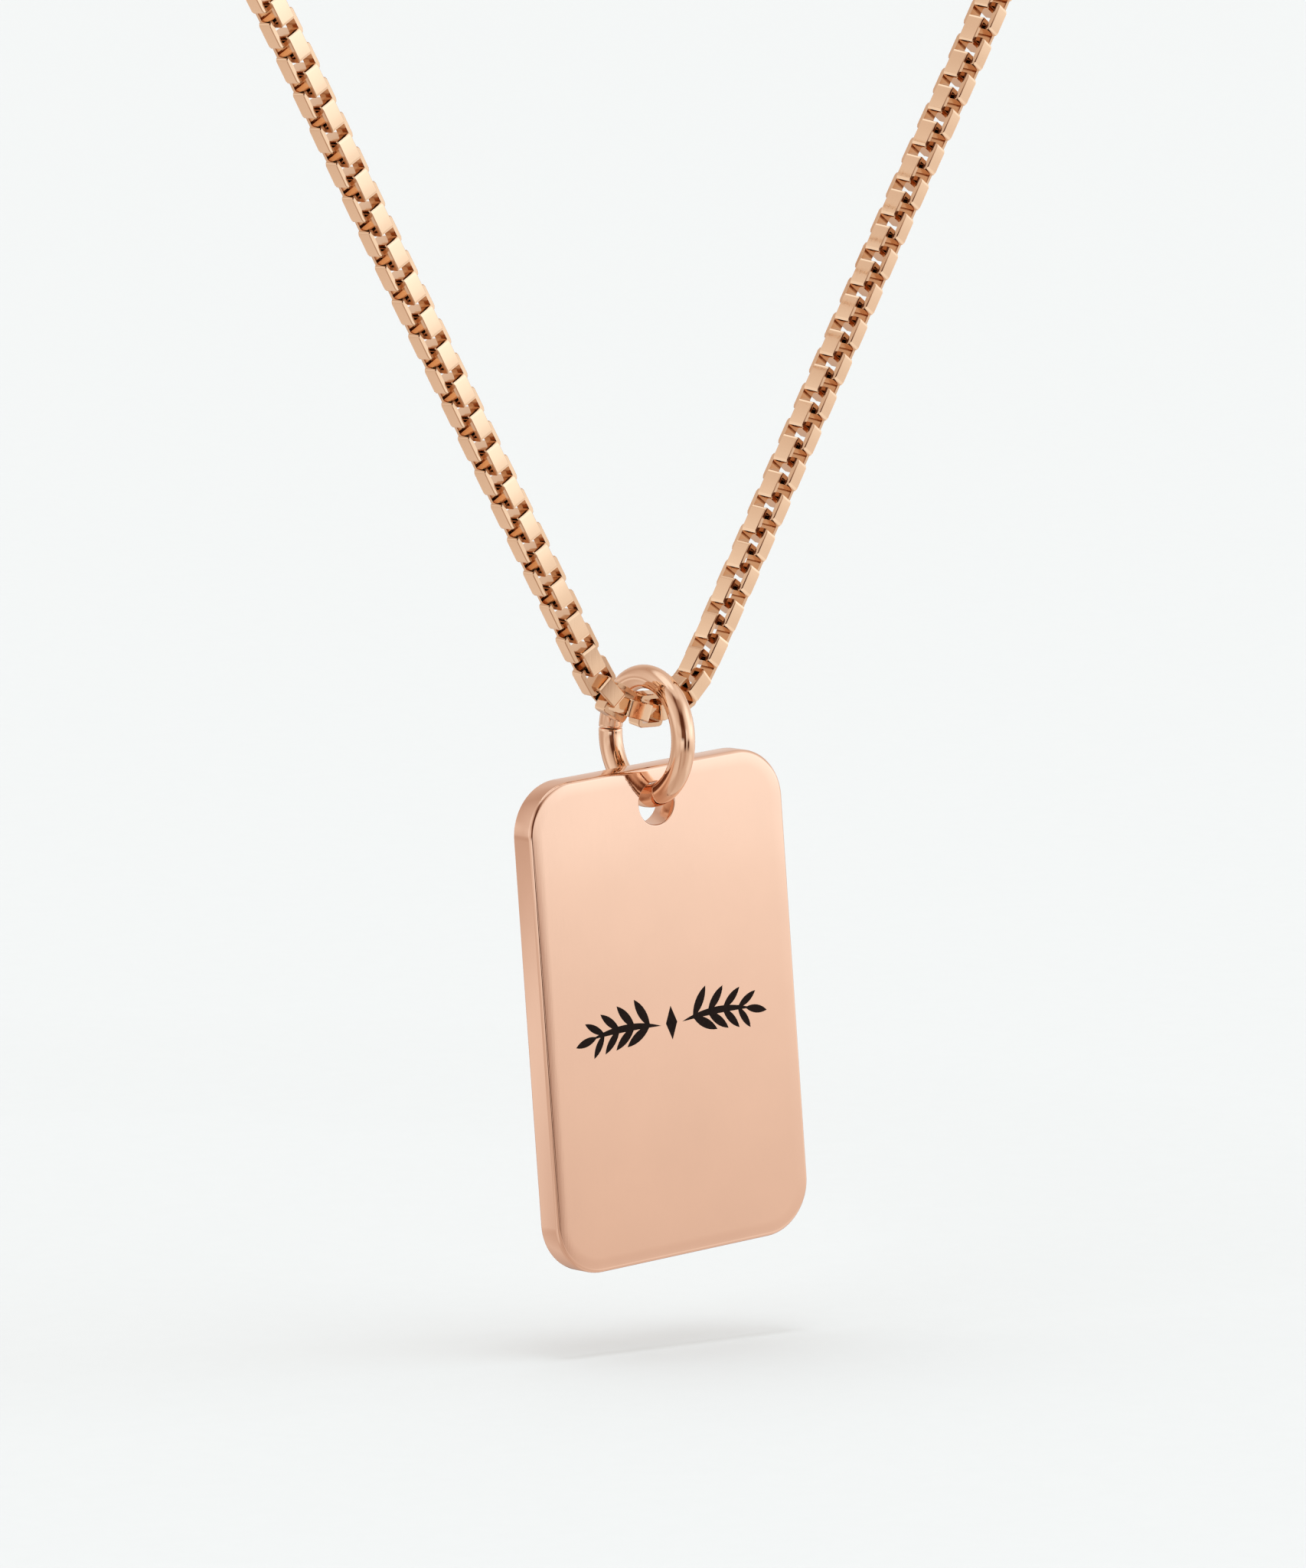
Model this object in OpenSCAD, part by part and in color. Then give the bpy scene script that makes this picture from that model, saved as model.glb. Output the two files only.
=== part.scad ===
/* [Plate] */
// Width of the plate
plate_w = 16; // [14:0.5:20]
// Height of the plate
plate_h = 25; // [21:0.5:32]
// Thickness of the plate
plate_t = 1.5; // [1.2:0.1:2]
// Radius of the plate's four corners
corner_r = 2.7; // [1.5:0.1:4]
// Radius of the softened edge round both faces
edge_r = 0.3; // [0.15:0.05:0.5]
// Diameter of the hole for the jump ring
hole_d = 2.2; // [2:0.1:2.6]
// Metal left between the hole and the plate's top edge
hole_land = 0.8; // [0.6:0.1:1.2]
// How far the plate hangs swung off plumb, its lower end to the right
plate_lean = 4.5; // [-10:0.5:10]

/* [Engraving] */
// Width of the whole engraved sprig
sprig_w = 12.2; // [10:0.2:13]
// How far the sprig lies below the middle of the plate
sprig_drop = 0.6; // [0:0.1:2]
// Depth of the engraving
engrave_depth = 0.15; // [0.1:0.05:0.4]
// How far the black filling ends below the plate's face
fill_sink = 0.02; // [0.01:0.01:0.05]
// Clearance round and under the filling
fill_gap = 0.02; // [0.01:0.01:0.03]

/* [Jump ring] */
// Thickness of the ring's wire
ring_wire = 1.2; // [0.9:0.05:1.3]
// Inner diameter of the ring
ring_id = 4.8; // [4.6:0.1:6]
// Width of the seam where the ends of the ring's wire meet
ring_seam = 0.05; // [0.03:0.01:0.1]
// Height of the seam above the middle of the ring, as an angle
seam_angle = 4; // [0:1:30]
// Clearance between the ring and the chain that carries it
chain_play = 0.08; // [0.05:0.01:0.15]
// Clearance between the plate and the ring that carries it
plate_play = 0.05; // [0.03:0.01:0.1]

/* [Chain] */
// Width of the chain across its flat sides
chain_w = 1.7; // [1.6:0.05:2]
// Length of one link
link_l = 1.6; // [1.5:0.05:1.9]
// Thickness of the metal strip that a link is bent from
link_t = 0.18; // [0.14:0.01:0.2]
// Width of the metal strip that a link is bent from
strip_w = 0.84; // [0.7:0.02:0.88]
// Bevel of a link's four bent corners
link_bevel = 0.3; // [0.15:0.05:0.35]
// Free length between two links that lie the same way
link_gap = 0.4; // [0.36:0.02:0.5]
// Length of each front arm that is made of separate links
arm_l = 119; // [60:1:119]
// Distance between the sections of the plain stretch behind
section_step = 4; // [3:0.5:5]
// Clearance between the last separate link and the plain stretch
arm_gap = 0.15; // [0.1:0.05:0.3]

/* [Clasp] */
// Diameter of the clasp
clasp_d = 3.2; // [2.9:0.1:4]
// Length of the clasp
clasp_l = 10; // [8:0.5:14]
// Bevel round the clasp's ends
clasp_bevel = 0.35; // [0.1:0.05:0.35]
// Depth of the sockets that take the ends of the chain
socket_depth = 2; // [1.5:0.1:3]
// How far the chain's ends stay clear of the sockets' floors
socket_end = 0.3; // [0.2:0.1:0.6]
// Clearance round the chain in the sockets
socket_gap = 0.13; // [0.1:0.01:0.18]

/* [Hidden] */
$fn = 64;
GOLD = "#E6B08F";
CHAIN_GOLD = "#DDA884";
BLACK = "#1B1718";

// The route of one half of the chain, from its lowest point at the ring to the middle of the clasp
ROUTE = [
    [0, -102, -116], [6, -102, -109.5], [15.5, -102, -93], [25, -102, -76.5], [35, -99.5, -59.5],
    [44, -90, -42], [50.5, -72, -26.5], [52, -50, -14.5], [47.5, -27, -6.5], [36, -9, -2.5],
    [19, 0.5, -0.5], [12, 1.6, 0], [6, 1.6, 0], [0, 1.6, 0]
];
// Radius of the bend in the ring, and how steeply the arms leave it
bend_r = 3.8;
bend_rise = 57;
// How far the links turn about the chain's own line on the left arm and on the right arm
roll_left = -3;
roll_right = 19.5;
// Half the length over which the chain turns from the one to the other
roll_l = 14;
arc_steps = 20;
span_steps = 24;
tube_sides = 8;
// Allowance by which a cut runs past the face that it opens
cut_past = 0.1;

low = ROUTE[0];
nape = ROUTE[len(ROUTE) - 1];
link_pitch = (link_l + link_gap) / 2;
arm_n = floor(arm_l / link_pitch);
arm_end = arm_n * link_pitch + link_l / 2;
// From the chain's line to the outermost corner of its section
chain_corner = norm([chain_w, strip_w]) / 2;

function unit(v) = v / norm(v);
function square_to(v, t) = unit(v - (v * t) * t);
function between(a, b, c, d, t) =
    0.5 * (2 * b + (c - a) * t + (2 * a - 5 * b + 4 * c - d) * t * t + (3 * b - 3 * c + d - a) * t * t * t);

// Fine points along the right half: the bend first, then a smooth line through the route's points
arc_pts = [
    for (i = [0:arc_steps])
        let (a = bend_rise * i / arc_steps)
            low + bend_r * [sin(a), 0, 1 - cos(a)]
];
arc_end = arc_pts[arc_steps];
arc_dir = [cos(bend_rise), 0, sin(bend_rise)];
stations = concat([arc_end], [for (i = [1:len(ROUTE) - 1]) ROUTE[i]]);
before = arc_end - arc_dir * norm(stations[1] - arc_end);
mirrored = stations[len(stations) - 2];
guides = concat([before], stations, [[-mirrored.x, mirrored.y, mirrored.z]]);
line_pts = [
    for (i = [1:len(guides) - 3], k = [0:span_steps - 1])
        between(guides[i - 1], guides[i], guides[i + 1], guides[i + 2], k / span_steps)
];
fine = concat([for (i = [0:arc_steps - 1]) arc_pts[i]], line_pts, [nape]);
fine_n = len(fine);
reach = [
    for (i = 0, s = 0; i < fine_n; i = i + 1, s = i < fine_n ? s + norm(fine[i] - fine[i - 1]) : s)
        s
];
half_l = reach[fine_n - 1];
xs = [for (i = [0:fine_n - 1]) [reach[i], fine[i].x]];
ys = [for (i = [0:fine_n - 1]) [reach[i], fine[i].y]];
zs = [for (i = [0:fine_n - 1]) [reach[i], fine[i].z]];

// A point at length s from the lowest point: to the right where s is positive, to the left where it is negative
function flip(v, s) = [s < 0 ? -v.x : v.x, v.y, v.z];
function at(s) = flip([lookup(abs(s), xs), lookup(abs(s), ys), lookup(abs(s), zs)], s);
// The chain's own direction there, which runs from left to right at the ring
function along(s) = unit(at(s + link_pitch / 2) - at(s - link_pitch / 2));

// The chain's front side, carried along the right half without turning about the line
carry_step = 1;
carry_n = floor(half_l / carry_step);
fronts = [
    for (i = 0, v = [0, -1, 0]; i <= carry_n; i = i + 1, v = square_to(v, along(i * carry_step)))
        v
];
fxs = [for (i = [0:carry_n]) [i * carry_step, fronts[i].x]];
fys = [for (i = [0:carry_n]) [i * carry_step, fronts[i].y]];
fzs = [for (i = [0:carry_n]) [i * carry_step, fronts[i].z]];
function roll_at(s) =
    let (share = min(1, max(0, (s + roll_l) / (2 * roll_l))))
        roll_left + (roll_right - roll_left) * share;
// The front side at s, turned by the roll there
function front_at(s) =
    let (
        t = along(s),
        v = square_to(flip([lookup(abs(s), fxs), lookup(abs(s), fys), lookup(abs(s), fzs)], s), t),
        a = roll_at(s)
    )
        cos(a) * v + sin(a) * cross(t, v);

ring_r = (ring_id + ring_wire) / 2;
ring_z = low.z + chain_corner + chain_play - ring_id / 2;
// The ring's wire curves up within the plate's thickness, so the plate hangs from the hole's two edges
hole_top = ring_z - sqrt(pow(ring_id / 2, 2) - pow(plate_t / 2, 2)) + plate_play;
plate_top = hole_top + hole_land;
plate_z = plate_top - plate_h / 2;

// One half of the plate's outline in section, from the middle of a corner to the softened edge
module edge_section() {
    translate([0, -plate_t / 2])
        square([corner_r - edge_r, plate_t]);
    translate([0, edge_r - plate_t / 2])
        square([corner_r, plate_t - 2 * edge_r]);
    for (side = [-1, 1])
        translate([corner_r - edge_r, side * (plate_t / 2 - edge_r)])
            circle(edge_r);
}

// The plate lying flat, its front face up and its middle at the origin
module plate_body() {
    flat_w = plate_w - 2 * corner_r;
    flat_h = plate_h - 2 * corner_r;
    cube([flat_w, flat_h, plate_t], center = true);
    for (turn = [0:3]) {
        run = turn % 2 == 0 ? flat_h : flat_w;
        out = (turn % 2 == 0 ? flat_w : flat_h) / 2;
        rotate([0, 0, 90 * turn]) {
            translate([out, run / 2, 0])
                rotate([90, 0, 0])
                    linear_extrude(run)
                        edge_section();
            translate([out, run / 2, 0])
                rotate_extrude(angle = 90)
                    edge_section();
        }
    }
}

// The sprig's shapes are shares of one unit, and are written for its right half
// The stem: its centre, its radius, its width and half the angle that it spans
STEM = [0.53, -1.06, 1.13, 0.075, 22.5];
// The leaves: pairs, length of the first, how much shorter the last is, width to length, how far they lean out
// and how far they start inside the stem
LEAVES = [4, 0.36, 0.11, 0.29, 45, 0.02];
// The leaf at the tip: length, width, how far along the stem it starts and how far it turns up
TIP = [0.27, 0.085, 0.88, 3];
// The drop in the middle: half its height and half its width
DROP = [0.17, 0.07];

// Which way the stem runs a share f of the way to its tip, and how far its middle line lies from its centre there
function stem_turn(f) = STEM[4] * (1 - 2 * f);
function stem_mid(f) = STEM[2] - STEM[3] / 2 * (1 - pow(2 * f - 1, 2));

// The unit that makes the sprig reach its width at the tips
tip_turn = stem_turn(TIP[2]);
tip_reach = STEM[0] - stem_mid(TIP[2]) * sin(tip_turn) + TIP[0] * cos(tip_turn + TIP[3]);
unit_w = sprig_w / 2 / tip_reach;

// A crescent of radius r that is w wide in its middle, spans half the angle h on each side and is thinned by gap
module crescent(r, w, h, gap) {
    sag = r * (1 - cos(h)) - w;
    chord = r * sin(h);
    cut_r = (chord * chord + sag * sag) / (2 * sag);
    difference() {
        circle(r - gap);
        translate([r * cos(h) + sag - cut_r, 0])
            circle(cut_r + gap);
    }
}

// A pointed leaf from the origin along x, thinned by gap
module leaf(l, w, gap) {
    r = (l * l + w * w) / (4 * w);
    intersection() {
        translate([l / 2, r - w / 2])
            circle(r - gap);
        translate([l / 2, w / 2 - r])
            circle(r - gap);
    }
}

// Puts what points along x onto the stem's middle line, a share f of the way to its tip
module on_stem(f) {
    translate([STEM[0], STEM[1]])
        rotate(stem_turn(f))
            translate([0, stem_mid(f)])
                children();
}

// The right half of the sprig in shares of its unit
module sprig_half(gap) {
    translate([STEM[0], STEM[1]])
        rotate(90)
            crescent(STEM[2], STEM[3], STEM[4], gap);
    for (k = [0:LEAVES[0] - 1]) {
        f = (k + 0.9) / (LEAVES[0] + 0.9);
        l = LEAVES[1] - LEAVES[2] * f;
        for (side = [-1, 1])
            on_stem(f)
                rotate(side * LEAVES[4])
                    translate([-LEAVES[5], 0])
                        leaf(l, l * LEAVES[3], gap);
    }
    on_stem(TIP[2])
        rotate(TIP[3])
            leaf(TIP[0], TIP[1], gap);
}

// The whole sprig, thinned by gap where it is the filling
module sprig(gap) {
    drop_h = DROP[0] * unit_w - gap * norm(DROP) / DROP[1];
    drop_w = DROP[1] * unit_w - gap * norm(DROP) / DROP[0];
    for (side = [0, 1])
        mirror([side, 0])
            scale(unit_w)
                sprig_half(gap / unit_w);
    polygon([[drop_w, 0], [0, drop_h], [-drop_w, 0], [0, -drop_h]]);
}

// Puts what lies flat with its front face up into the plate's place, its front to -Y, swung about the ring's wire
module on_plate() {
    wire_z = ring_z - ring_r;
    translate([0, low.y, wire_z])
        rotate([0, -plate_lean, 0])
            translate([0, 0, plate_z - wire_z])
                rotate([90, 0, 0])
                    children();
}

module tag_plate() {
    color(GOLD)
        on_plate()
            difference() {
                plate_body();
                translate([0, plate_h / 2 - hole_land - hole_d / 2, -plate_t])
                    cylinder(d = hole_d, h = 2 * plate_t);
                translate([0, -sprig_drop, plate_t / 2 - engrave_depth])
                    linear_extrude(engrave_depth + cut_past)
                        sprig(0);
            }
}

module engraving_fill() {
    color(BLACK)
        on_plate()
            translate([0, -sprig_drop, plate_t / 2 - engrave_depth + fill_gap])
                linear_extrude(engrave_depth - fill_gap - fill_sink)
                    sprig(fill_gap);
}

module jump_ring() {
    seam_turn = 360 * ring_seam / (2 * PI * ring_r);
    color(GOLD)
        translate([0, low.y, ring_z])
            rotate([90, 0, 90])
                rotate([0, 0, seam_angle + seam_turn / 2])
                    rotate_extrude(angle = 360 - seam_turn)
                        translate([ring_r, 0])
                            circle(d = ring_wire);
}

// One square link in its own plane, its length along y and its strip's width along z
module link() {
    hw = chain_w / 2;
    hl = link_l / 2;
    iw = hw - link_t;
    il = hl - link_t;
    b = link_bevel;
    linear_extrude(strip_w, center = true)
        polygon(
            [
                [hw, b - hl], [hw, hl - b], [hw - b, hl], [b - hw, hl],
                [-hw, hl - b], [-hw, b - hl], [b - hw, -hl], [hw - b, -hl],
                [iw, -il], [iw, il], [-iw, il], [-iw, -il]
            ],
            [[0, 1, 2, 3, 4, 5, 6, 7], [8, 9, 10, 11]]
        );
}

module front_chain() {
    color(CHAIN_GOLD)
        for (i = [-arm_n:arm_n]) {
            p = at(i * link_pitch);
            t = along(i * link_pitch);
            f = front_at(i * link_pitch);
            // every other link is turned by a quarter about the chain's line
            z = i % 2 == 0 ? f : cross(f, t);
            x = cross(t, z);
            multmatrix([
                [x.x, t.x, z.x, p.x],
                [x.y, t.y, z.y, p.y],
                [x.z, t.z, z.z, p.z]
            ])
                link();
        }
}

// A closed tube through the stations at lengths s, with flat sides as wide as the chain
module tube(s) {
    n = len(s);
    r = chain_w / 2 / cos(180 / tube_sides);
    pts = [
        for (v = s)
            let (p = at(v), t = along(v), f = front_at(v), b = cross(t, f))
                for (k = [0:tube_sides - 1])
                    let (a = 360 * (k + 0.5) / tube_sides)
                        p + r * (cos(a) * f + sin(a) * b)
    ];
    sides = [
        for (i = [0:n - 2], k = [0:tube_sides - 1])
            let (m = (k + 1) % tube_sides, j = i * tube_sides)
                [j + k, j + m, j + m + tube_sides, j + k + tube_sides]
    ];
    ends = [
        [for (k = [0:tube_sides - 1]) tube_sides - 1 - k],
        [for (k = [0:tube_sides - 1]) (n - 1) * tube_sides + k]
    ];
    polyhedron(pts, concat(sides, ends), convexity = 4);
}

module back_chain() {
    tube_start = arm_end + arm_gap;
    tube_end = half_l - (clasp_l / 2 - socket_depth + socket_end);
    n = ceil((tube_end - tube_start) / section_step);
    stops = [for (i = [0:n]) tube_start + (tube_end - tube_start) * i / n];
    color(CHAIN_GOLD) {
        tube(stops);
        tube([for (i = [0:n]) -stops[n - i]]);
    }
}

module clasp() {
    end = clasp_l / 2;
    r = clasp_d / 2;
    socket_d = 2 * chain_corner + 2 * socket_gap;
    color(GOLD)
        translate(nape)
            rotate([0, 90, 0])
                difference() {
                    rotate_extrude()
                        polygon([
                            [0, -end], [r - clasp_bevel, -end], [r, clasp_bevel - end],
                            [r, end - clasp_bevel], [r - clasp_bevel, end], [0, end]
                        ]);
                    for (side = [0, 1])
                        mirror([0, 0, side])
                            translate([0, 0, end - socket_depth])
                                cylinder(d = socket_d, h = socket_depth + cut_past);
                }
}

tag_plate();
engraving_fill();
jump_ring();
front_chain();
back_chain();
clasp();
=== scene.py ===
# %% Load the frame
import math
from bisect import bisect_right

import bmesh
import bpy
from mathutils import Matrix, Vector


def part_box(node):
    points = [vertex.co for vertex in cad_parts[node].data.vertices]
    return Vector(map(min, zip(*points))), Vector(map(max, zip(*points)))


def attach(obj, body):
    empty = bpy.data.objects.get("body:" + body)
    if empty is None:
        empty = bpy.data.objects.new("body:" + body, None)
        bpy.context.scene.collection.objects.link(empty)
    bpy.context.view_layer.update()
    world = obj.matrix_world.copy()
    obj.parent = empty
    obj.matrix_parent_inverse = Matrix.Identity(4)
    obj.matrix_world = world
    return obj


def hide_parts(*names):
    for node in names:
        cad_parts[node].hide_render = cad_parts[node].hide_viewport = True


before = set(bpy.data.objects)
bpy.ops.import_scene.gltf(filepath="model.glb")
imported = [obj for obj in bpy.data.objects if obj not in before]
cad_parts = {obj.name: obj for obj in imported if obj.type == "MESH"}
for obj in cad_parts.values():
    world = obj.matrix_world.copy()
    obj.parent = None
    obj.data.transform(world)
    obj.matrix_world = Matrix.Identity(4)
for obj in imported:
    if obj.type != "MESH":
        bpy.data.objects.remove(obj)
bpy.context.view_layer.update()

# %% [markdown]
# ## Units and the places of the pieces
# The drawings of the necklace are in millimetres and Blender works in metres, so every size below is
# written in millimetres and multiplied by MM once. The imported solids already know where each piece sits,
# so the middles of the plate and of the ring are read from their boxes and aren't typed in again.

# %% Sizes that the pieces share
MM = 0.001


def middle(node):
    low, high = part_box(node)
    return (low + high) / 2


PLATE_W, PLATE_H, PLATE_T = 16 * MM, 25 * MM, 1.5 * MM
CORNER_R, ROLL_OFF = 2.7 * MM, 0.8 * MM
plate_middle = middle("tag_plate")
ring_middle = middle("jump_ring")
plane_y = plate_middle.y
PLATE_LEAN = math.radians(4.5)
for name, point in (("plate", plate_middle), ("ring", ring_middle)):
    print("middle of the", name, [round(v / MM, 2) for v in point], "mm")

# %% [markdown]
# ## The camera
# A product photographer stands well back with a long lens, so that upright edges stay nearly parallel.
# The camera could be placed by hand in the viewport. It is worked out here from four plain facts instead:
# the angle round the pendant, the height above it, how far away it is, and a small roll of the frame.

# %% Camera
CAM_TURN, CAM_RISE, CAM_ROLL = math.radians(37.4), math.radians(6.3), math.radians(0.3)
CAM_DISTANCE = 585 * MM
PIXELS_FOCAL, PIXELS_WIDE = 15220, 1706
aim = Vector((0.38 * MM, plane_y, ring_middle.z - 2.45 * MM))

flat_part = math.cos(CAM_RISE)
toward = Vector((-math.sin(CAM_TURN) * flat_part, -math.cos(CAM_TURN) * flat_part, math.sin(CAM_RISE)))
level = Vector((math.cos(CAM_TURN), -math.sin(CAM_TURN), 0))
upward = toward.cross(level)
cam_x = math.cos(CAM_ROLL) * level - math.sin(CAM_ROLL) * upward
cam_y = math.sin(CAM_ROLL) * level + math.cos(CAM_ROLL) * upward

lens = bpy.data.cameras.new("photo_camera")
lens.sensor_fit = "HORIZONTAL"
lens.sensor_width = 36
lens.lens = 36 * PIXELS_FOCAL / PIXELS_WIDE
lens.clip_start, lens.clip_end = 0.01, 50
camera = bpy.data.objects.new("photo_camera", lens)
bpy.context.scene.collection.objects.link(camera)
turn = Matrix((cam_x, cam_y, toward)).transposed().to_4x4()
camera.matrix_world = Matrix.Translation(aim + toward * CAM_DISTANCE) @ turn
bpy.context.scene.camera = camera
bpy.context.scene.view_settings.view_transform = "Standard"
print("lens", round(lens.lens, 1), "mm at", round(CAM_DISTANCE, 3), "m")

# %% [markdown]
# ## A short way to write node trees
# Materials, the floor and the surroundings are all made of nodes. Clicking them together in the editor
# is quick once, but a script has to name every socket, so one small helper adds a node, sets its
# values and links what feeds it. It keeps each finish below readable.

# %% Helper for nodes
def add(tree, kind, settings=None, **inputs):
    node = tree.nodes.new("ShaderNode" + kind)
    for name, value in (settings or {}).items():
        setattr(node, name, value)
    for name, value in inputs.items():
        key = int(name[1:]) if name[0] == "i" and name[1:].isdigit() else name.replace("_", " ")
        if isinstance(value, bpy.types.NodeSocket):
            tree.links.new(value, node.inputs[key])
        else:
            node.inputs[key].default_value = value
    return node


def fill_ramp(node, stops):
    points = node.color_ramp.elements
    while len(points) < len(stops):
        points.new(0.5)
    for point, (place, colour) in zip(points, stops):
        point.position = place
    for point, (place, colour) in zip(points, stops):
        point.color = (*colour, 1) if isinstance(colour, tuple) else (colour, colour, colour, 1)
    return node


# %% [markdown]
# ## The surroundings that the metal reflects
# Polished metal has hardly any colour of its own: it shows the room. A jeweller is photographed inside
# a white tent that glows in front and overhead, is dim at the sides, and has one dark slit for the lens.
# That slit draws the thin dark line along every rounded edge. A narrow strip of light stands in its
# middle, so that the plate isn't black when it is seen straight from the front. An image of a studio
# would do, but a few belts round the horizon, from the ground to the roof, say the same in a few numbers.
# Each stop is a place on the way round and how bright the cloth is there. What is dim is also warm,
# because pieces of rose gold mirror each other.

# %% The tent
def warm(level):
    return (level**0.7, level, level**1.2)


GROUND = [(0.0, 0.46), (0.1, 0.40), (0.3, 0.50), (0.5, 0.54), (0.58, 0.60), (0.7, 0.42), (0.8, 0.46), (1.0, 0.46)]
LOW = [
    (0.0, 0.60), (0.06, 0.62), (0.10, 0.30), (0.14, 0.48), (0.22, 0.34), (0.26, 0.48), (0.33, 0.56), (0.38, 0.74),
    (0.44, 0.74), (0.50, 0.62), (0.57, 0.72), (0.62, 0.26), (0.70, 0.42), (0.78, 0.56), (0.86, 0.46), (1.0, 0.60),
]
BELOW_EYE = [
    (0.0, 0.82), (0.06, 0.74), (0.10, 1.00), (0.15, 1.00), (0.17, 0.70), (0.185, 0.04), (0.228, 0.02),
    (0.236, 0.80), (0.264, 0.80), (0.272, 0.02), (0.295, 0.02), (0.312, 0.20), (0.34, 0.88), (0.345, 0.90),
    (0.36, 0.92), (0.42, 0.97), (0.50, 1.00), (0.55, 0.95), (0.61, 0.50), (0.66, 0.24), (0.70, 0.44),
    (0.76, 0.68), (0.81, 0.72), (0.85, 0.64), (0.94, 0.62), (1.0, 0.82),
]
ABOVE_EYE = [
    (0.0, 0.54), (0.06, 0.54), (0.10, 0.46), (0.118, 0.06), (0.22, 0.04), (0.236, 0.70), (0.27, 0.60),
    (0.31, 0.66), (0.34, 0.90), (0.36, 0.93), (0.41, 1.08), (0.46, 0.90), (0.53, 0.66), (0.60, 0.52),
    (0.65, 0.50), (0.68, 0.38), (0.72, 0.50), (0.80, 0.56), (0.86, 0.48), (0.91, 0.66), (0.96, 0.66), (1.0, 0.54),
]
HIGH = [
    (0.0, 0.62), (0.06, 0.48), (0.10, 0.24), (0.12, 0.03), (0.20, 0.03), (0.225, 0.24), (0.26, 0.60),
    (0.31, 0.80), (0.34, 1.14), (0.40, 1.12), (0.46, 0.76), (0.52, 0.54), (0.60, 0.54), (0.70, 0.52),
    (0.78, 0.38), (0.85, 0.54), (0.93, 0.74), (1.0, 0.62),
]
UPPER = [
    (0.0, 0.44), (0.06, 0.26), (0.085, 0.06), (0.12, 0.06), (0.15, 0.20), (0.24, 0.32), (0.30, 0.50),
    (0.38, 0.76), (0.48, 0.70), (0.60, 0.56), (0.70, 0.40), (0.78, 0.36), (0.86, 0.50), (0.92, 0.54), (1.0, 0.44),
]
ROOF = [(0.0, 1.00), (0.06, 0.62), (0.3, 0.70), (0.5, 0.62), (0.65, 0.76), (0.8, 0.90), (1.0, 1.00)]
# how the light at eye level grows with height, and how it does beside the plate
SHADING = [
    (0.0, 0.45), (0.33, 0.45), (0.375, 0.64), (0.393, 0.70), (0.417, 0.76), (0.44, 0.82), (0.452, 0.87),
    (0.464, 0.91), (0.475, 1.0), (0.5, 1.07), (0.53, 1.17), (0.56, 1.20), (1.0, 1.20),
]
SIDE = [
    (0.0, 0.72), (0.379, 0.72), (0.3935, 0.70), (0.4077, 0.62), (0.4208, 0.52), (0.434, 0.44),
    (0.46, 0.40), (1.0, 0.40),
]
SIDE_WINDOW = [(0.0, 0.0), (0.77, 0.0), (0.81, 1.0), (0.90, 1.0), (0.95, 0.0), (1.0, 0.0)]
# where each further belt takes over from what lies nearer the eye, as a height from -1 to 1
BELTS = [(-0.2, -0.4, LOW), (-0.6, -0.8, GROUND), (0.12, 0.28, HIGH), (0.5, 0.75, UPPER), (0.8, 0.92, ROOF)]
TENT_GLOW = 1.17

world = bpy.data.worlds.new("tent")
world.use_nodes = True
bpy.context.scene.world = world
tree = world.node_tree
tree.nodes.clear()
look = add(tree, "TexCoord")
parts = add(tree, "SeparateXYZ", Vector=look.outputs["Generated"])
angle = add(tree, "Math", {"operation": "ARCTAN2"}, i0=parts.outputs["Y"], i1=parts.outputs["X"])
share = add(tree, "MapRange", Value=angle.outputs[0], From_Min=-math.pi, From_Max=math.pi)
height = add(tree, "MapRange", Value=parts.outputs["Z"], From_Min=-1.0, From_Max=1.0)


def belt(place, stops):
    ramp = add(tree, "ValToRGB", Fac=place)
    return fill_ramp(ramp, [(spot, warm(level)) for spot, level in stops]).outputs["Color"]


def blend(factor, first, second, kind="MIX"):
    node = add(tree, "Mix", {"data_type": "RGBA", "blend_type": kind}, Factor=factor)
    for socket, value in ((6, first), (7, second)):
        if isinstance(value, tuple):
            node.inputs[socket].default_value = (*value, 1)
        else:
            tree.links.new(value, node.inputs[socket])
    return node.outputs[2]


def rising(start, end):
    smooth = {"interpolation_type": "SMOOTHSTEP"}
    return add(tree, "MapRange", smooth, Value=parts.outputs["Z"], From_Min=start, From_Max=end).outputs[0]


eye_level = blend(rising(-0.13, 0.01), belt(share.outputs[0], BELOW_EYE), belt(share.outputs[0], ABOVE_EYE))
cloth = blend(1.0, eye_level, belt(height.outputs[0], SHADING), "MULTIPLY")
# beside the plate the light comes up from the table, so the plate's side is lighter towards its foot
window = fill_ramp(add(tree, "ValToRGB", Fac=share.outputs[0]), SIDE_WINDOW)
weight = add(tree, "Math", {"operation": "MULTIPLY"}, i0=window.outputs["Color"], i1=rising(0.0, -0.08))
cloth = blend(weight.outputs[0], cloth, belt(height.outputs[0], SIDE))
for start, end, stops in BELTS:
    cloth = blend(rising(start, end), cloth, belt(share.outputs[0], stops))
cloth = blend(rising(0.95, 0.99), cloth, warm(1.0))
glow = add(tree, "Background", Color=cloth, Strength=TENT_GLOW)
add(tree, "OutputWorld", Surface=glow.outputs[0])
print("the tent has", len(BELTS) + 2, "belts, the one below the eye with", len(BELOW_EYE), "stops")

# %% [markdown]
# ## The floor and two soft lights overhead
# The photograph has a plain near white ground and a faint grey pool just under the plate. A large plane
# gives the ground. The plane is left out of glossy rays, so the metal sees the tent and not a
# hard horizon. A sun lamp with a wide disc stands for the softbox overhead: it draws the pool. A second one
# without shadows evens out the ground, as the white paper walls round a product table do.

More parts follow.
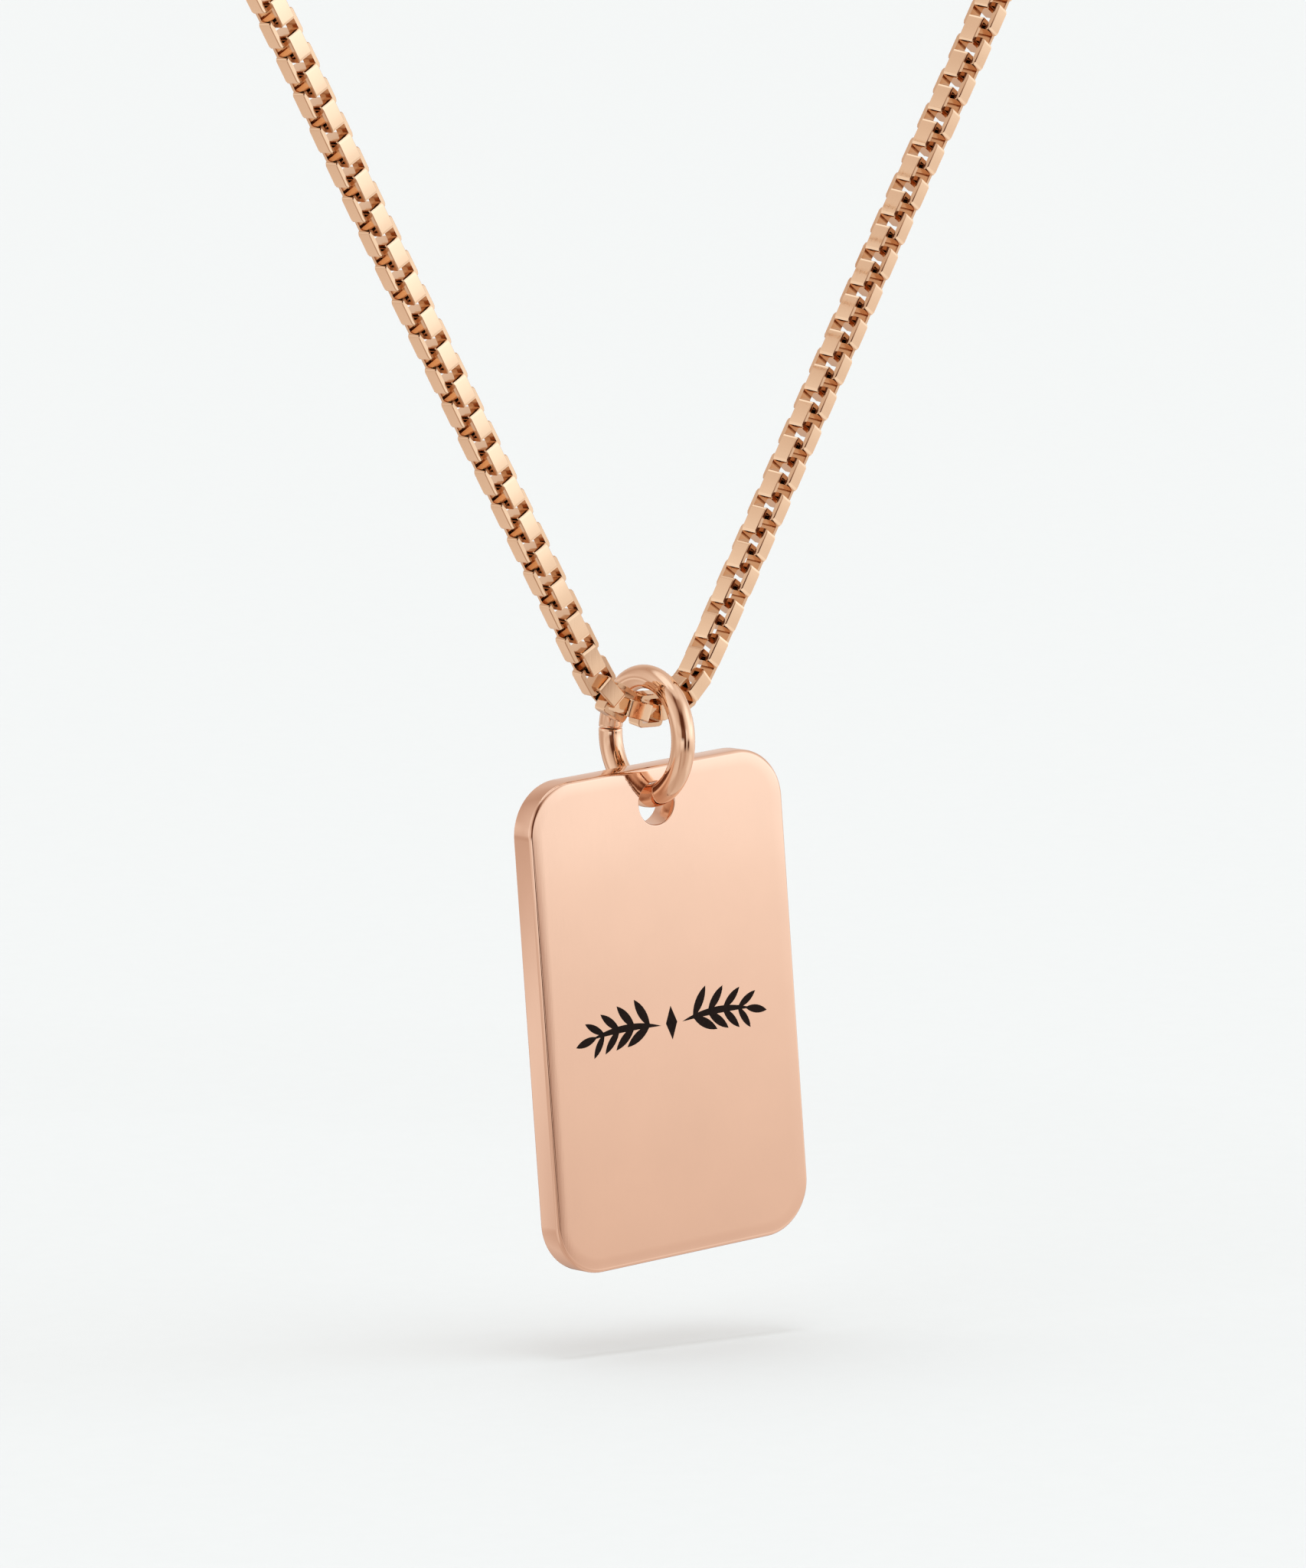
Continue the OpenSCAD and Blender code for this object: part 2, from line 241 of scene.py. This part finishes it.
# %% Floor and light
FLOOR_GAP, FLOOR_HALF = 4.3 * MM, 4.0
PAPER_TONES = [(0.0, (0.514, 0.526, 0.529)), (1.0, (0.526, 0.538, 0.541))]
floor_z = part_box("tag_plate")[0].z - FLOOR_GAP
bm = bmesh.new()
bmesh.ops.create_grid(bm, x_segments=8, y_segments=8, size=FLOOR_HALF)
bmesh.ops.translate(bm, vec=(0, 0, floor_z), verts=bm.verts)
floor_mesh = bpy.data.meshes.new("floor")
bm.to_mesh(floor_mesh)
bm.free()
floor = bpy.data.objects.new("floor", floor_mesh)
bpy.context.scene.collection.objects.link(floor)
floor.visible_glossy = False

paint = bpy.data.materials.new("floor_paper")
paint.use_nodes = True
tree = paint.node_tree
tree.nodes.clear()
place = add(tree, "TexCoord")
grain = add(tree, "TexNoise", Vector=place.outputs["Object"], Scale=900.0, Detail=3.0)
tone = fill_ramp(add(tree, "ValToRGB", Fac=grain.outputs[0]), PAPER_TONES)
paper = add(tree, "BsdfPrincipled", Base_Color=tone.outputs["Color"], Roughness=0.9)
paper.inputs["Specular IOR Level"].default_value = 0.1
add(tree, "OutputMaterial", Surface=paper.outputs[0])
floor_mesh.materials.append(paint)


def soft_sun(name, energy, colour, wide):
    data = bpy.data.lights.new(name, "SUN")
    data.energy = energy
    data.color = colour
    data.angle = math.radians(wide)
    lamp = bpy.data.objects.new(name, data)
    bpy.context.scene.collection.objects.link(lamp)
    lamp.visible_glossy = False
    return lamp


softbox = soft_sun("overhead_softbox", 0.9, (0.86, 0.95, 1.0), 18)
softbox.rotation_euler = (math.radians(4), math.radians(-3), 0)
even_fill = soft_sun("even_fill", 2.6, (0.882, 0.971, 1.0), 90)
even_fill.data.use_shadow = False
print("floor at", round(floor_z / MM, 1), "mm")

# %% [markdown]
# ## Rose gold
# The real plate, ring and chain are silver under a polished rose gold plating. A metal shader with the
# right colour is the start, but a real polish is never even: there are faint clouds in the tone, hairlines
# from the polishing wheel that soften the gloss, and the plate's face is very slightly crowned because
# the wheel takes more off near the edges. Each of these is a small texture on the piece's own coordinates.

# %% Rose gold finish
ROSE = (0.915, 0.642, 0.496)
WIRE_ROSE = (0.925, 0.662, 0.484)
YELLOWER = (0.985, 0.75, 0.535)
# the dark brown painted as shade inside the chain's links and along the edges of their strip
LINK_SHADE_BROWN = (0.64, 0.40, 0.24)
CLOUDED = 0.955
FINE_RELIEF = 0.02 * MM
RIM_ROLL = 55.0


def rose_gold(name, centre, gloss, hairline, crown=0.0, tone_scale=260.0, tone=ROSE, inside=None):
    gold = bpy.data.materials.new(name)
    gold.use_nodes = True
    tree = gold.node_tree
    tree.nodes.clear()
    place = add(tree, "TexCoord")
    moved = add(tree, "Mapping", Vector=place.outputs["Object"])
    moved.inputs["Location"].default_value = [-v for v in centre]
    cloud = add(tree, "TexNoise", Vector=moved.outputs[0], Scale=tone_scale, Detail=4.0, Roughness=0.55)
    deep = tuple(v * CLOUDED for v in tone)
    tint = fill_ramp(add(tree, "ValToRGB", Fac=cloud.outputs[0]), [(0.3, deep), (0.7, tone)])
    surface = tint.outputs["Color"]
    if inside:
        # painted shade: the inside of a link and the edges of its strip are mixed towards a dark brown, for the
        # shade in the chain's gaps
        reach = add(tree, "Attribute", {"attribute_name": "inside"})
        shade = add(tree, "Mix", {"data_type": "RGBA"}, Factor=reach.outputs["Fac"])
        tree.links.new(surface, shade.inputs[6])
        shade.inputs[7].default_value = (*inside, 1)
        surface = shade.outputs[2]
    # hairlines: noise drawn out along the piece, finer across it
    comb = add(tree, "Mapping", Vector=moved.outputs[0])
    comb.inputs["Scale"].default_value = (1.0, 1.0, 0.12)
    hair = add(tree, "TexNoise", Vector=comb.outputs[0], Scale=9000.0, Detail=2.0)
    matt = add(
        tree, "MapRange", Value=hair.outputs[0], From_Min=0.3, From_Max=0.7, To_Min=gloss, To_Max=gloss + 0.05,
    )
    bump = add(tree, "Bump", Height=hair.outputs[0], Strength=hairline, Distance=FINE_RELIEF)
    if crown:
        plumb = add(tree, "Mapping", Vector=moved.outputs[0])
        plumb.inputs["Rotation"].default_value = (0, PLATE_LEAN, 0)
        spot = add(tree, "SeparateXYZ", Vector=plumb.outputs[0])
        wide = add(tree, "Math", {"operation": "MULTIPLY"}, i0=spot.outputs["X"], i1=spot.outputs["X"])
        tall = add(tree, "Math", {"operation": "MULTIPLY"}, i0=spot.outputs["Z"], i1=spot.outputs["Z"])
        both = add(tree, "Math", {"operation": "ADD"}, i0=wide.outputs[0], i1=tall.outputs[0])
        rise = add(tree, "Math", {"operation": "MULTIPLY"}, i0=both.outputs[0], i1=-crown)
        # how deep in the rolled off margin a point lies, counted round the corners
        folded = add(tree, "VectorMath", {"operation": "ABSOLUTE"}, i0=plumb.outputs[0])
        core = (PLATE_W / 2 - CORNER_R, 1.0, PLATE_H / 2 - CORNER_R)
        past = add(tree, "VectorMath", {"operation": "SUBTRACT"}, i0=folded.outputs[0], i1=core)
        above = add(tree, "VectorMath", {"operation": "MAXIMUM"}, i0=past.outputs[0], i1=(0.0, 0.0, 0.0))
        reached = add(tree, "VectorMath", {"operation": "LENGTH"}, i0=above.outputs[0])
        start = CORNER_R - ROLL_OFF
        margin = add(tree, "Math", {"operation": "SUBTRACT"}, i0=reached.outputs["Value"], i1=start)
        within = add(tree, "Math", {"operation": "MAXIMUM"}, i0=margin.outputs[0], i1=0.0)
        steep = add(tree, "Math", {"operation": "MULTIPLY"}, i0=within.outputs[0], i1=within.outputs[0])
        rolled = add(
            tree, "Math", {"operation": "MULTIPLY_ADD"}, i0=steep.outputs[0], i1=-RIM_ROLL, i2=rise.outputs[0],
        )
        dish = add(tree, "Bump", Height=rolled.outputs[0], Strength=1.0, Distance=1.0)
        tree.links.new(dish.outputs[0], bump.inputs["Normal"])
    metal = add(tree, "BsdfPrincipled", Base_Color=surface, Roughness=matt.outputs[0], Normal=bump.outputs[0])
    metal.inputs["Metallic"].default_value = 1.0
    add(tree, "OutputMaterial", Surface=metal.outputs[0])
    return gold


plate_gold = rose_gold("plate_rose_gold", plate_middle, gloss=0.03, hairline=0.05, crown=2.2, tone_scale=160.0)
ring_gold = rose_gold("ring_rose_gold", ring_middle, gloss=0.03, hairline=0.04, tone=WIRE_ROSE)
nape = Vector((0, 0, 0))
# the chain's links get painted shade inside and along their edges
chain_gold = rose_gold("chain_rose_gold", nape, gloss=0.07, hairline=0.05, tone=YELLOWER, inside=LINK_SHADE_BROWN)
clasp_gold = rose_gold("clasp_rose_gold", nape, gloss=0.12, hairline=0.12)
for finish in (plate_gold, ring_gold, chain_gold, clasp_gold):
    print(finish.name, "has", len(finish.node_tree.nodes), "nodes")

# %% [markdown]
# ## Black filling
# The engraving is filled with black enamel that was wiped level while soft. It dries a touch below the
# face, almost without shine, with a fine unevenness. A dark base, a broad gloss and a small bump do it.

# %% Black filling finish
ENAMEL_TONES = [(0.3, (0.008, 0.004, 0.003)), (0.75, (0.017, 0.008, 0.006))]
enamel = bpy.data.materials.new("black_enamel")
enamel.use_nodes = True
tree = enamel.node_tree
tree.nodes.clear()
place = add(tree, "TexCoord")
speck = add(tree, "TexNoise", Vector=place.outputs["Object"], Scale=6000.0, Detail=3.0)
dark = fill_ramp(add(tree, "ValToRGB", Fac=speck.outputs[0]), ENAMEL_TONES)
dull = add(tree, "MapRange", Value=speck.outputs[0], To_Min=0.35, To_Max=0.5)
skin = add(tree, "Bump", Height=speck.outputs[0], Strength=0.2, Distance=FINE_RELIEF)
colour = dark.outputs["Color"]
coat = add(tree, "BsdfPrincipled", Base_Color=colour, Roughness=dull.outputs[0], Normal=skin.outputs[0])
coat.inputs["Specular IOR Level"].default_value = 0.08
add(tree, "OutputMaterial", Surface=coat.outputs[0])

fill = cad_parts["engraving_fill"]
fill.data.materials.clear()
fill.data.materials.append(enamel)
print("the filling keeps its solid, with", len(fill.data.polygons), "triangles")

# %% [markdown]
# ## From bmesh to a finished piece
# Every new piece ends the same way: its mesh becomes an object at the origin, it gets its finish, flat
# and round faces are told apart by the angle between them, and it rides on the body that carries it.

# %% Helper for pieces
def make_piece(name, bm, finish, body, stands_for, sharp=35, weighted=False):
    mesh = bpy.data.meshes.new(name)
    bm.to_mesh(mesh)
    bm.free()
    mesh.materials.append(finish)
    mesh.polygons.foreach_set("use_smooth", [True] * len(mesh.polygons))
    mesh.set_sharp_from_angle(angle=math.radians(sharp))
    piece = bpy.data.objects.new(name, mesh)
    bpy.context.scene.collection.objects.link(piece)
    if weighted:
        even = piece.modifiers.new("even_normals", "WEIGHTED_NORMAL")
        even.keep_sharp = True
    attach(piece, body)
    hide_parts(stands_for)
    print(name, len(mesh.polygons), "faces")
    return piece


# %% [markdown]
# ## The plate
# The real plate is stamped from sheet, its corners are rounded and then both rims are softened on the
# wheel. The bmesh does the same in the same order: a box, a wide bevel on the edges of its corners, then
# a narrow bevel round both faces. A subdivision surface would also round it, but it would pull the
# flat faces out of true, and a mirror finish shows that at once.

# %% Plate blank
EDGE_ROUND = 0.21 * MM
HOLE_R, HOLE_LAND = 1.1 * MM, 0.8 * MM
bm = bmesh.new()
bmesh.ops.create_cube(bm, size=1.0)
bmesh.ops.scale(bm, vec=(PLATE_W, PLATE_T, PLATE_H), verts=bm.verts)
through = [e for e in bm.edges if abs(e.verts[0].co.y - e.verts[1].co.y) > PLATE_T / 2]
bmesh.ops.bevel(bm, geom=through, offset=CORNER_R, segments=20, profile=0.5, affect="EDGES", material=-1)
rims = [e for e in bm.edges if len(e.link_faces) == 2 and sum(abs(f.normal.y) > 0.9 for f in e.link_faces) == 1]
bmesh.ops.bevel(bm, geom=rims, offset=EDGE_ROUND, segments=6, profile=0.5, affect="EDGES", material=-1)
hole_place = Vector((0, 0, PLATE_H / 2 - HOLE_LAND - HOLE_R))
hang = Matrix.Translation(plate_middle) @ Matrix.Rotation(-PLATE_LEAN, 4, "Y")
bmesh.ops.transform(bm, matrix=hang, verts=bm.verts)
plate_mesh = bpy.data.meshes.new("plate_blank")
bm.to_mesh(plate_mesh)
bm.free()
print("plate blank", len(plate_mesh.polygons), "faces")

# %% [markdown]
# ## Cutting the hole and the engraving
# The hole is drilled and the sprig is cut with a graver. Modelling their walls by hand would mean
# stitching hundreds of points into the face. A boolean cuts both cleanly with a cutter of the same
# shape as what was removed: a cylinder for the drill, and for the sprig a copy of its own filling,
# pushed out through the face, so that filling and recess can't drift apart.

# %% Cutters
def cutter(name, bm):
    mesh = bpy.data.meshes.new(name)
    bmesh.ops.recalc_face_normals(bm, faces=bm.faces)
    bm.to_mesh(mesh)
    bm.free()
    tool = bpy.data.objects.new(name, mesh)
    bpy.context.scene.collection.objects.link(tool)
    return tool


DRILL_LONG, GRAVER_OUT = 4 * MM, 0.3 * MM
hole_middle = hang @ hole_place
bm = bmesh.new()
bmesh.ops.create_cone(bm, cap_ends=True, segments=64, radius1=HOLE_R, radius2=HOLE_R, depth=DRILL_LONG)
bmesh.ops.rotate(bm, cent=(0, 0, 0), matrix=Matrix.Rotation(math.pi / 2, 3, "X"), verts=bm.verts)
bmesh.ops.translate(bm, vec=hole_middle, verts=bm.verts)
drill = cutter("drill", bm)

bm = bmesh.new()
bm.from_mesh(fill.data)
bmesh.ops.remove_doubles(bm, verts=bm.verts, dist=1e-7)
face_y = plane_y - PLATE_T / 2
shallow = min(v.co.y for v in bm.verts)
outer = [v for v in bm.verts if v.co.y < shallow + 1e-5]
bmesh.ops.translate(bm, vec=(0, face_y - shallow - GRAVER_OUT, 0), verts=outer)
graver = cutter("graver", bm)


def cut(mesh, *tools):
    blank = bpy.data.objects.new("blank", mesh)
    bpy.context.scene.collection.objects.link(blank)
    for tool in tools:
        step = blank.modifiers.new("cut", "BOOLEAN")
        step.operation = "DIFFERENCE"
        step.solver = "EXACT"
        step.object = tool
    bpy.context.view_layer.update()
    done = bpy.data.meshes.new_from_object(blank.evaluated_get(bpy.context.evaluated_depsgraph_get()))
    for spare in (blank, *tools):
        bpy.data.objects.remove(spare)
    return done


cut_mesh = cut(plate_mesh, drill, graver)
print("cut plate", len(cut_mesh.polygons), "faces")

# %% [markdown]
# The drilled hole would look like a paper cut-out with knife edges. Its two rims get a very small bevel,
# as a countersink leaves, and then the plate is finished and takes the place of its solid.

# %% Finished plate
COUNTERSINK = 0.07 * MM
bm = bmesh.new()
bm.from_mesh(cut_mesh)
hole_rims = []
for e in bm.edges:
    flat = abs(e.verts[0].co.y - e.verts[1].co.y) < 1e-6
    out = [math.hypot(v.co.x - hole_middle.x, v.co.z - hole_middle.z) for v in e.verts]
    near = all(abs(r - HOLE_R) < 0.02 * MM for r in out)
    if flat and near and abs(abs(e.verts[0].co.y - plane_y) - PLATE_T / 2) < 1e-5:
        hole_rims.append(e)
bmesh.ops.bevel(bm, geom=hole_rims, offset=COUNTERSINK, segments=3, profile=0.5, affect="EDGES", material=-1)
plate = make_piece("engraved_plate", bm, plate_gold, "pendant", "tag_plate")
# a mirror shows the least unevenness, so every corner on the two big faces looks straight out
straight = []
for face in plate.data.polygons:
    for corner in face.vertices:
        aside = plate.data.vertices[corner].co.y - plane_y
        level_with_face = abs(aside) > PLATE_T / 2 - 1e-7 and abs(face.normal.y) > 0.8
        straight.append((0, math.copysign(1, aside), 0) if level_with_face else (0, 0, 0))
plate.data.normals_split_custom_set(straight)
print(sum(any(v) for v in straight), "corners look straight out")

# %% [markdown]
# ## The jump ring
# A jump ring is a piece of round wire, wound once and pushed shut, so its two ends meet in a hairline
# seam. A torus primitive has no seam. Here a circle of wire is spun about the ring's axis and stops just
# short of a full turn, the two ends are closed, and a tiny bevel rounds them as a saw and a file would.

# %% Jump ring
WIRE, RING_R = 1.2 * MM, 3.0 * MM
SEAM, SEAM_RISE, LIP = 0.05 * MM, math.radians(4), 0.04 * MM
seam_turn = SEAM / RING_R
bm = bmesh.new()
section = bmesh.ops.create_circle(bm, cap_ends=False, segments=28, radius=WIRE / 2)["verts"]
bmesh.ops.translate(bm, vec=(RING_R, 0, 0), verts=section)
bmesh.ops.rotate(bm, cent=(0, 0, 0), matrix=Matrix.Rotation(math.pi / 2, 3, "X"), verts=section)
bmesh.ops.spin(
    bm, geom=bm.verts[:] + bm.edges[:], cent=(0, 0, 0), axis=(0, 0, 1), dvec=(0, 0, 0),
    angle=2 * math.pi - seam_turn, steps=110, use_merge=False, use_duplicate=False,
)
ends = [e for e in bm.edges if e.is_boundary]
bmesh.ops.contextual_create(bm, geom=ends[: len(ends) // 2])
bmesh.ops.holes_fill(bm, edges=[e for e in bm.edges if e.is_boundary], sides=0)
bmesh.ops.recalc_face_normals(bm, faces=bm.faces)
lips = [e for e in bm.edges if sum(len(f.verts) > 4 for f in e.link_faces) == 1]
bmesh.ops.bevel(bm, geom=lips, offset=LIP, segments=2, profile=0.5, affect="EDGES", material=-1)
# the spun ring lies flat: stand it up in the plane across the chain, its seam to the back
bmesh.ops.rotate(bm, cent=(0, 0, 0), matrix=Matrix.Rotation(SEAM_RISE + seam_turn / 2, 3, "Z"), verts=bm.verts)
stand = Matrix(((0, 0, 1), (1, 0, 0), (0, 1, 0)))
bmesh.ops.rotate(bm, cent=(0, 0, 0), matrix=stand, verts=bm.verts)
bmesh.ops.translate(bm, vec=(0, plane_y, ring_middle.z), verts=bm.verts)
make_piece("split_jump_ring", bm, ring_gold, "ring", "jump_ring")

# %% [markdown]
# ## The line of the chain
# The chain hangs in a loop: a tight bend in the ring, two straight arms, and round the neck to the clasp.
# Its few stations are the same round numbers that the solids use, here in metres. A smooth line through
# them is cut into links of equal length, and each link needs a place, a direction and a front side.
# The front side is carried along from link to link without twisting, which a plain curve object with
# its own tilt would not promise at the steep bend.

# %% Stations and smooth line
STATIONS = [
    Vector(p) * MM
    for p in [
        (0, -102, -116), (6, -102, -109.5), (15.5, -102, -93), (25, -102, -76.5), (35, -99.5, -59.5),
        (44, -90, -42), (50.5, -72, -26.5), (52, -50, -14.5), (47.5, -27, -6.5), (36, -9, -2.5),
        (19, 0.5, -0.5), (12, 1.6, 0), (6, 1.6, 0), (0, 1.6, 0),
    ]
]
BEND_R, BEND_RISE = 3.8 * MM, math.radians(57)
ARC_STEPS, SPAN_STEPS = 20, 24


def between(a, b, c, d, t):
    return 0.5 * (2 * b + (c - a) * t + (2 * a - 5 * b + 4 * c - d) * t * t + (3 * b - 3 * c + d - a) * t**3)


bend = [
    STATIONS[0] + BEND_R * Vector((math.sin(a), 0, 1 - math.cos(a)))
    for a in (BEND_RISE * i / ARC_STEPS for i in range(ARC_STEPS + 1))
]
leave = Vector((math.cos(BEND_RISE), 0, math.sin(BEND_RISE)))
guides = [bend[-1] - leave * (STATIONS[1] - bend[-1]).length, bend[-1], *STATIONS[1:]]
guides.append(Vector((-STATIONS[-2].x, STATIONS[-2].y, STATIONS[-2].z)))
line = bend[:-1]
for i in range(1, len(guides) - 2):
    line += [between(*guides[i - 1 : i + 3], k / SPAN_STEPS) for k in range(SPAN_STEPS)]
line.append(STATIONS[-1])
reach = [0.0]
for a, b in zip(line, line[1:]):
    reach.append(reach[-1] + (b - a).length)
HALF = reach[-1]
print("the loop is", round(2 * HALF, 4), "m long, with", len(line), "points on each half")

# %% [markdown]
# Two small functions answer the only questions that a link asks: where is the line after so many
# millimetres, and which way does it run there. The left half is the mirror image of the right one.

# %% Place, direction and front side along the line
PITCH = 1.0 * MM
ROLL_LEFT, ROLL_RIGHT, ROLL_L = math.radians(-3), math.radians(19.5), 14 * MM


def flipped(v, s):
    return Vector((-v.x, v.y, v.z)) if s < 0 else Vector(v)


def at(s):
    d = min(abs(s), HALF)
    i = min(bisect_right(reach, d), len(line) - 1)
    share = (d - reach[i - 1]) / (reach[i] - reach[i - 1])
    return flipped(line[i - 1].lerp(line[i], share), s)


def along(s):
    return (at(s + PITCH / 2) - at(s - PITCH / 2)).normalized()


def square_to(v, t):
    return (v - v.dot(t) * t).normalized()


fronts = [Vector((0, -1, 0))]
while len(fronts) <= HALF / PITCH:
    fronts.append(square_to(fronts[-1], along((len(fronts) - 1) * PITCH)))


def front_at(s):
    i = min(int(abs(s) / PITCH), len(fronts) - 2)
    t = along(s)
    v = square_to(flipped(fronts[i].lerp(fronts[i + 1], abs(s) / PITCH - i), s), t)
    share = min(1, max(0, (s + ROLL_L) / (2 * ROLL_L)))
    a = ROLL_LEFT + (ROLL_RIGHT - ROLL_LEFT) * share
    return math.cos(a) * v + math.sin(a) * t.cross(v)


print("front side at the nape", [round(v, 2) for v in front_at(HALF - PITCH)])

# %% [markdown]
# ## One link of the box chain
# A box link is a short strip of flat wire bent into a square with soft corners and soldered shut. The
# strip is nearly as wide as the square is open, so the next link only just fits through it. A cube
# gets its four bent corners by a bevel, loses the two faces that the strip leaves open, and solidify
# gives it the thickness of the strip. Several hundred copies follow, so it has only a few dozen faces.

# %% Link
LINK_W, LINK_L, STRIP, THICK = 1.7 * MM, 1.52 * MM, 0.89 * MM, 0.23 * MM
BEND_ROUND, STRIP_ROUND = 0.2 * MM, 0.04 * MM
# how strongly the painted shade darkens the strip's cut edges and its rounded rims
CUT_EDGE_SHADE, ROUNDED_EDGE_SHADE = 0.4, 0.65
bm = bmesh.new()
bmesh.ops.create_cube(bm, size=1.0)
bmesh.ops.scale(bm, vec=(LINK_W, LINK_L, STRIP), verts=bm.verts)
bent = [e for e in bm.edges if abs(e.verts[0].co.z - e.verts[1].co.z) > STRIP / 2]
bmesh.ops.bevel(bm, geom=bent, offset=BEND_ROUND, segments=2, profile=0.5, affect="EDGES", material=-1)
open_sides = [f for f in bm.faces if abs(f.normal.z) > 0.9]
bmesh.ops.delete(bm, geom=open_sides, context="FACES_ONLY")
bmesh.ops.recalc_face_normals(bm, faces=bm.faces)
bmesh.ops.solidify(bm, geom=bm.faces[:], thickness=THICK)
bmesh.ops.recalc_face_normals(bm, faces=bm.faces)
outside = [f for f in bm.faces if abs(f.normal.z) < 0.1 and f.normal.dot(f.calc_center_median()) > 0]
rims = [e for e in bm.edges if sum(f in outside for f in e.link_faces) == 1]
bmesh.ops.bevel(bm, geom=rims, offset=STRIP_ROUND, segments=1, profile=0.5, affect="EDGES", material=-1)
# how much painted shade each face gets: all on the inside of the link, some on the strip's cut edges and rounded
# rims, none on the outer faces
shade_layer = bm.faces.layers.float.new("inside")
for f in bm.faces:
    across = abs(f.normal.z)
    if across > 0.95:
        f[shade_layer] = CUT_EDGE_SHADE
    elif across > 0.2:
        f[shade_layer] = ROUNDED_EDGE_SHADE
    else:
        f[shade_layer] = 1.0 if f.normal.dot(f.calc_center_median()) < 0 else 0.0
size = [round((max(v.co[k] for v in bm.verts) - min(v.co[k] for v in bm.verts)) / MM, 2) for k in range(3)]
link_mesh = bpy.data.meshes.new("link")
bm.to_mesh(link_mesh)
bm.free()
print("link", size, "mm,", len(link_mesh.polygons), "faces")

# %% [markdown]
# ## The chain
# Every link is turned by a quarter against the one before it. An array modifier along a curve could lay
# them out too, but it bends each link with the curve, and real links are rigid. So each copy is only
# moved and turned. The front and the back of the chain are two joined meshes, as the solids are.

# %% Chain
def chain_piece(name, numbers, stands_for):
    bm = bmesh.new()
    for i in numbers:
        count = len(bm.verts)
        bm.from_mesh(link_mesh)
        bm.verts.ensure_lookup_table()
        t, f, p = along(i * PITCH), front_at(i * PITCH), at(i * PITCH)
        z = f if i % 2 == 0 else f.cross(t)
        turn = Matrix((t.cross(z), t, z)).transposed().to_4x4()
        bmesh.ops.transform(bm, matrix=Matrix.Translation(p) @ turn, verts=bm.verts[count:])
    return make_piece(name, bm, chain_gold, "chain", stands_for, sharp=40, weighted=True)


FRONT_N, SOCKET_FLOOR = 119, 3.3 * MM
LAST_N = int((HALF - SOCKET_FLOOR - LINK_L / 2) / PITCH)
chain_piece("front_box_links", range(-FRONT_N, FRONT_N + 1), "front_chain")
back = [*range(-LAST_N, -FRONT_N), *range(FRONT_N + 1, LAST_N + 1)]
chain_piece("back_box_links", back, "back_chain")

# %% [markdown]
# ## The clasp
# The photograph doesn't show the clasp, so it stays a plain barrel of the usual kind. Its two
# halves meet in a fine groove and each end takes the last link in a socket. The whole outline, socket
# included, is one short edge path, and a spin about the barrel's axis turns it into the piece.

# %% Clasp
bm = bmesh.new()
HALF_PROFILE = [
    (0.0, 3.0), (1.05, 3.0), (1.05, 4.93), (1.12, 5.0), (1.25, 5.0), (1.52, 4.86), (1.6, 4.6), (1.6, 4.2),
    (1.54, 4.14), (1.54, 4.0), (1.6, 3.94), (1.6, 0.09), (1.5, 0.05),
]
profile = [(r, -x) for r, x in HALF_PROFILE] + HALF_PROFILE[::-1]
points = [bm.verts.new((x * MM, 0, r * MM)) for r, x in profile]
path = [bm.edges.new(pair) for pair in zip(points, points[1:])]
bmesh.ops.spin(
    bm, geom=points + path, cent=(0, 0, 0), axis=(1, 0, 0), dvec=(0, 0, 0),
    angle=2 * math.pi, steps=64, use_merge=True, use_duplicate=False,
)
bmesh.ops.remove_doubles(bm, verts=bm.verts, dist=1e-6)
bmesh.ops.recalc_face_normals(bm, faces=bm.faces)
bmesh.ops.translate(bm, vec=STATIONS[-1], verts=bm.verts)
make_piece("barrel_clasp", bm, clasp_gold, "chain", "clasp")
